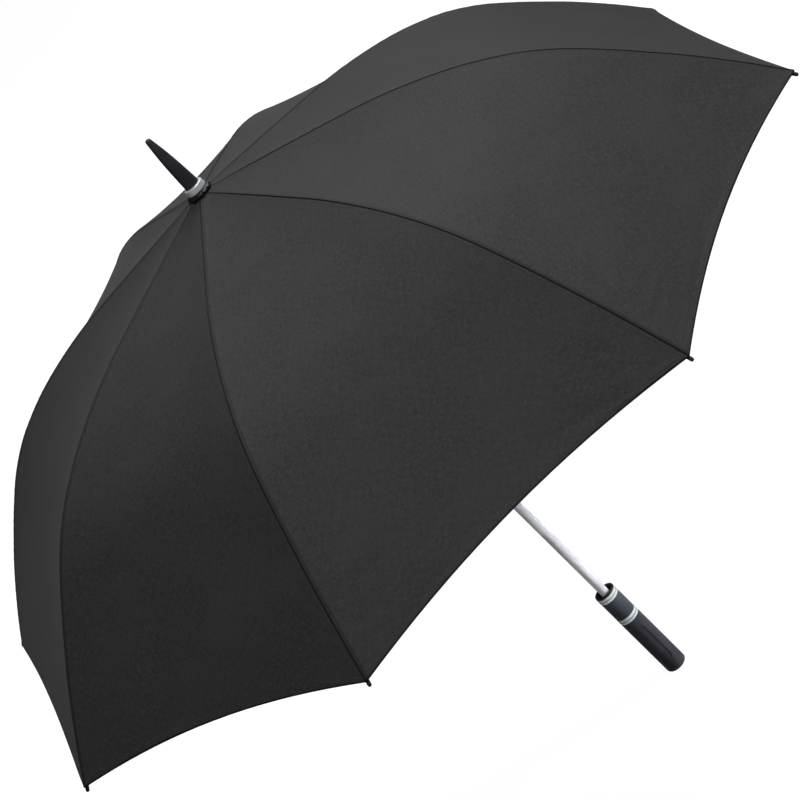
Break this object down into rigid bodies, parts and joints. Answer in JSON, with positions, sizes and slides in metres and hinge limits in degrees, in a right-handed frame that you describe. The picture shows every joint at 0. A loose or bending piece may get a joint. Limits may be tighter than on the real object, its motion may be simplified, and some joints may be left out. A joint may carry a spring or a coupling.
{
  "type": "golf umbrella",
  "caption": "Open automatic golf umbrella: wide domed fabric canopy on hinged ribs and stretchers, straight shaft with sliding runner, pointed ferrule, push-button straight handle.",
  "frame": {"origin": "centre of the handle's flat end face", "axes": "+Z along the shaft from the handle to the ferrule; +X along rib 0, the ribs follow counterclockwise seen from the ferrule"},
  "size_m": [1.2946, 1.2946, 1.019],
  "materials": {
    "canopy_fabric": "woven",
    "black_plastic": "matte",
    "black_fibre": "semi-gloss",
    "satin_aluminium": "satin",
    "soft_touch": "soft-touch",
    "slate_plastic": "matte",
    "grey_plastic": "satin",
    "spring_steel": "drawn"
  },
  "bodies": {
    "frame": {"shaft_tube": "satin_aluminium", "spring_seat": "spring_steel", "main_spring": "spring_steel", "crown": "black_plastic", "crown_wire": "spring_steel", "canopy_cap": "black_plastic", "ferrule_collar": "satin_aluminium", "ferrule": "black_plastic", "handle_core": "black_plastic", "handle_grip": "soft_touch", "ring_lower": "grey_plastic", "mid_sleeve": "slate_plastic", "ring_upper": "grey_plastic", "button_spring": "spring_steel"},
    "runner": {"runner": "black_plastic", "runner_wire": "spring_steel", "spring_pusher": "spring_steel"},
    "button": {"release_button": "black_plastic"},
    "rib_0": {"rib_0": "black_fibre", "rib_joint_0": "black_plastic", "rib_tip_0": "black_plastic"},
    "stretcher_0": {"stretcher_0": "black_fibre"},
    "gore_0": {"canopy_gore_0": "canopy_fabric"},
    "rib_1": {"rib_1": "black_fibre", "rib_joint_1": "black_plastic", "rib_tip_1": "black_plastic"},
    "stretcher_1": {"stretcher_1": "black_fibre"},
    "gore_1": {"canopy_gore_1": "canopy_fabric"},
    "rib_2": {"rib_2": "black_fibre", "rib_joint_2": "black_plastic", "rib_tip_2": "black_plastic"},
    "stretcher_2": {"stretcher_2": "black_fibre"},
    "gore_2": {"canopy_gore_2": "canopy_fabric"},
    "rib_3": {"rib_3": "black_fibre", "rib_joint_3": "black_plastic", "rib_tip_3": "black_plastic"},
    "stretcher_3": {"stretcher_3": "black_fibre"},
    "gore_3": {"canopy_gore_3": "canopy_fabric"},
    "rib_4": {"rib_4": "black_fibre", "rib_joint_4": "black_plastic", "rib_tip_4": "black_plastic"},
    "stretcher_4": {"stretcher_4": "black_fibre"},
    "gore_4": {"canopy_gore_4": "canopy_fabric"},
    "rib_5": {"rib_5": "black_fibre", "rib_joint_5": "black_plastic", "rib_tip_5": "black_plastic"},
    "stretcher_5": {"stretcher_5": "black_fibre"},
    "gore_5": {"canopy_gore_5": "canopy_fabric"},
    "rib_6": {"rib_6": "black_fibre", "rib_joint_6": "black_plastic", "rib_tip_6": "black_plastic"},
    "stretcher_6": {"stretcher_6": "black_fibre"},
    "gore_6": {"canopy_gore_6": "canopy_fabric"},
    "rib_7": {"rib_7": "black_fibre", "rib_joint_7": "black_plastic", "rib_tip_7": "black_plastic"},
    "stretcher_7": {"stretcher_7": "black_fibre"},
    "gore_7": {"canopy_gore_7": "canopy_fabric"}
  },
  "joints": [
    {"name": "runner_slide", "type": "slide", "parent": "frame", "child": "runner", "axis": [0, 0, 1], "range_m": [-0.38267, 0], "stiffness_N_per_m": 60, "springref_m": 0.45, "deforming": ["main_spring", "canopy_gore_0", "canopy_gore_1", "canopy_gore_2", "canopy_gore_3", "canopy_gore_4", "canopy_gore_5", "canopy_gore_6", "canopy_gore_7"]},
    {"name": "button_press", "type": "slide", "parent": "frame", "child": "button", "axis": [-0.3827, -0.9239, 0], "range_m": [0, 0.0013], "stiffness_N_per_m": 600, "springref_m": -0.004, "deforming": ["button_spring"]},
    {"name": "rib_0_fold", "type": "hinge", "parent": "frame", "child": "rib_0", "pos_m": [0.012, 0, 0.919], "axis": [0, 1, 0], "range_deg": [0, 61]},
    {"name": "stretcher_0_turn", "type": "hinge", "parent": "rib_0", "child": "stretcher_0", "pos_m": [0.32777, 0, 0.84513], "axis": [0, 1, 0], "range_deg": [-100.35, 0]},
    {"name": "gore_0_fold", "type": "hinge", "parent": "rib_0", "child": "gore_0", "pos_m": [0.00274, 0.00114, 0.91355], "axis": [-0.8115, -0.3361, -0.478], "range_deg": [0, 44.8]},
    {"name": "rib_1_fold", "type": "hinge", "parent": "frame", "child": "rib_1", "pos_m": [0.00848, 0.00848, 0.919], "axis": [-0.7071, 0.7071, 0], "range_deg": [0, 61]},
    {"name": "stretcher_1_turn", "type": "hinge", "parent": "rib_1", "child": "stretcher_1", "pos_m": [0.23177, 0.23177, 0.84513], "axis": [-0.7071, 0.7071, 0], "range_deg": [-100.35, 0]},
    {"name": "gore_1_fold", "type": "hinge", "parent": "rib_1", "child": "gore_1", "pos_m": [0.00114, 0.00274, 0.91355], "axis": [-0.3361, -0.8115, -0.478], "range_deg": [0, 44.8]},
    {"name": "rib_2_fold", "type": "hinge", "parent": "frame", "child": "rib_2", "pos_m": [0, 0.012, 0.919], "axis": [-1, 0, 0], "range_deg": [0, 61]},
    {"name": "stretcher_2_turn", "type": "hinge", "parent": "rib_2", "child": "stretcher_2", "pos_m": [0, 0.32777, 0.84513], "axis": [-1, 0, 0], "range_deg": [-100.35, 0]},
    {"name": "gore_2_fold", "type": "hinge", "parent": "rib_2", "child": "gore_2", "pos_m": [-0.00114, 0.00274, 0.91355], "axis": [0.3361, -0.8115, -0.478], "range_deg": [0, 44.8]},
    {"name": "rib_3_fold", "type": "hinge", "parent": "frame", "child": "rib_3", "pos_m": [-0.00848, 0.00848, 0.919], "axis": [-0.7071, -0.7071, 0], "range_deg": [0, 61]},
    {"name": "stretcher_3_turn", "type": "hinge", "parent": "rib_3", "child": "stretcher_3", "pos_m": [-0.23177, 0.23177, 0.84513], "axis": [-0.7071, -0.7071, 0], "range_deg": [-100.35, 0]},
    {"name": "gore_3_fold", "type": "hinge", "parent": "rib_3", "child": "gore_3", "pos_m": [-0.00274, 0.00114, 0.91355], "axis": [0.8115, -0.3361, -0.478], "range_deg": [0, 44.8]},
    {"name": "rib_4_fold", "type": "hinge", "parent": "frame", "child": "rib_4", "pos_m": [-0.012, 0, 0.919], "axis": [0, -1, 0], "range_deg": [0, 61]},
    {"name": "stretcher_4_turn", "type": "hinge", "parent": "rib_4", "child": "stretcher_4", "pos_m": [-0.32777, 0, 0.84513], "axis": [0, -1, 0], "range_deg": [-100.35, 0]},
    {"name": "gore_4_fold", "type": "hinge", "parent": "rib_4", "child": "gore_4", "pos_m": [-0.00274, -0.00114, 0.91355], "axis": [0.8115, 0.3361, -0.478], "range_deg": [0, 44.8]},
    {"name": "rib_5_fold", "type": "hinge", "parent": "frame", "child": "rib_5", "pos_m": [-0.00848, -0.00848, 0.919], "axis": [0.7071, -0.7071, 0], "range_deg": [0, 61]},
    {"name": "stretcher_5_turn", "type": "hinge", "parent": "rib_5", "child": "stretcher_5", "pos_m": [-0.23177, -0.23177, 0.84513], "axis": [0.7071, -0.7071, 0], "range_deg": [-100.35, 0]},
    {"name": "gore_5_fold", "type": "hinge", "parent": "rib_5", "child": "gore_5", "pos_m": [-0.00114, -0.00274, 0.91355], "axis": [0.3361, 0.8115, -0.478], "range_deg": [0, 44.8]},
    {"name": "rib_6_fold", "type": "hinge", "parent": "frame", "child": "rib_6", "pos_m": [0, -0.012, 0.919], "axis": [1, 0, 0], "range_deg": [0, 61]},
    {"name": "stretcher_6_turn", "type": "hinge", "parent": "rib_6", "child": "stretcher_6", "pos_m": [0, -0.32777, 0.84513], "axis": [1, 0, 0], "range_deg": [-100.35, 0]},
    {"name": "gore_6_fold", "type": "hinge", "parent": "rib_6", "child": "gore_6", "pos_m": [0.00114, -0.00274, 0.91355], "axis": [-0.3361, 0.8115, -0.478], "range_deg": [0, 44.8]},
    {"name": "rib_7_fold", "type": "hinge", "parent": "frame", "child": "rib_7", "pos_m": [0.00848, -0.00848, 0.919], "axis": [0.7071, 0.7071, 0], "range_deg": [0, 61]},
    {"name": "stretcher_7_turn", "type": "hinge", "parent": "rib_7", "child": "stretcher_7", "pos_m": [0.23177, -0.23177, 0.84513], "axis": [0.7071, 0.7071, 0], "range_deg": [-100.35, 0]},
    {"name": "gore_7_fold", "type": "hinge", "parent": "rib_7", "child": "gore_7", "pos_m": [0.00274, -0.00114, 0.91355], "axis": [-0.8115, 0.3361, -0.478], "range_deg": [0, 44.8]}
  ],
  "couplings": [
    {"joint": "rib_0_fold", "follows": "runner_slide", "rad_per_m": -2.7821},
    {"joint": "stretcher_0_turn", "follows": "runner_slide", "rad_per_m": 4.577},
    {"joint": "gore_0_fold", "follows": "runner_slide", "rad_per_m": -2.0432},
    {"joint": "rib_1_fold", "follows": "runner_slide", "rad_per_m": -2.7821},
    {"joint": "stretcher_1_turn", "follows": "runner_slide", "rad_per_m": 4.577},
    {"joint": "gore_1_fold", "follows": "runner_slide", "rad_per_m": -2.0432},
    {"joint": "rib_2_fold", "follows": "runner_slide", "rad_per_m": -2.7821},
    {"joint": "stretcher_2_turn", "follows": "runner_slide", "rad_per_m": 4.577},
    {"joint": "gore_2_fold", "follows": "runner_slide", "rad_per_m": -2.0432},
    {"joint": "rib_3_fold", "follows": "runner_slide", "rad_per_m": -2.7821},
    {"joint": "stretcher_3_turn", "follows": "runner_slide", "rad_per_m": 4.577},
    {"joint": "gore_3_fold", "follows": "runner_slide", "rad_per_m": -2.0432},
    {"joint": "rib_4_fold", "follows": "runner_slide", "rad_per_m": -2.7821},
    {"joint": "stretcher_4_turn", "follows": "runner_slide", "rad_per_m": 4.577},
    {"joint": "gore_4_fold", "follows": "runner_slide", "rad_per_m": -2.0432},
    {"joint": "rib_5_fold", "follows": "runner_slide", "rad_per_m": -2.7821},
    {"joint": "stretcher_5_turn", "follows": "runner_slide", "rad_per_m": 4.577},
    {"joint": "gore_5_fold", "follows": "runner_slide", "rad_per_m": -2.0432},
    {"joint": "rib_6_fold", "follows": "runner_slide", "rad_per_m": -2.7821},
    {"joint": "stretcher_6_turn", "follows": "runner_slide", "rad_per_m": 4.577},
    {"joint": "gore_6_fold", "follows": "runner_slide", "rad_per_m": -2.0432},
    {"joint": "rib_7_fold", "follows": "runner_slide", "rad_per_m": -2.7821},
    {"joint": "stretcher_7_turn", "follows": "runner_slide", "rad_per_m": 4.577},
    {"joint": "gore_7_fold", "follows": "runner_slide", "rad_per_m": -2.0432}
  ]
}
